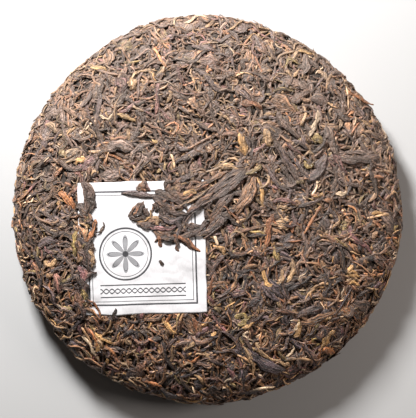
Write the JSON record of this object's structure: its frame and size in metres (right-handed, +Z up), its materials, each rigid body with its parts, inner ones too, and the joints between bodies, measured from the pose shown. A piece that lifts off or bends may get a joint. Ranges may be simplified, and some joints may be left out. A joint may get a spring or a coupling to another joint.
{
  "type": "pu erh tea cake",
  "caption": "Round cake of pressed dark tea leaves with a domed face, a paper ticket pressed in among the leaves and a knot hollow in the underside.",
  "frame": {"origin": "middle of the underside, on the plane that the cake rests on", "axes": "+Z up through the domed face, +Y towards the ticket's top edge, +X to the ticket's right, as the picture shows the face"},
  "size_m": [0.1982, 0.1996, 0.0285],
  "materials": {
    "tea_leaf": "dry pressed leaf, matt with a faint sheen",
    "paper": "thin uncoated white paper with grey print"
  },
  "bodies": {
    "root": {"cake": "tea_leaf", "ticket": "paper"}
  },
  "joints": []
}
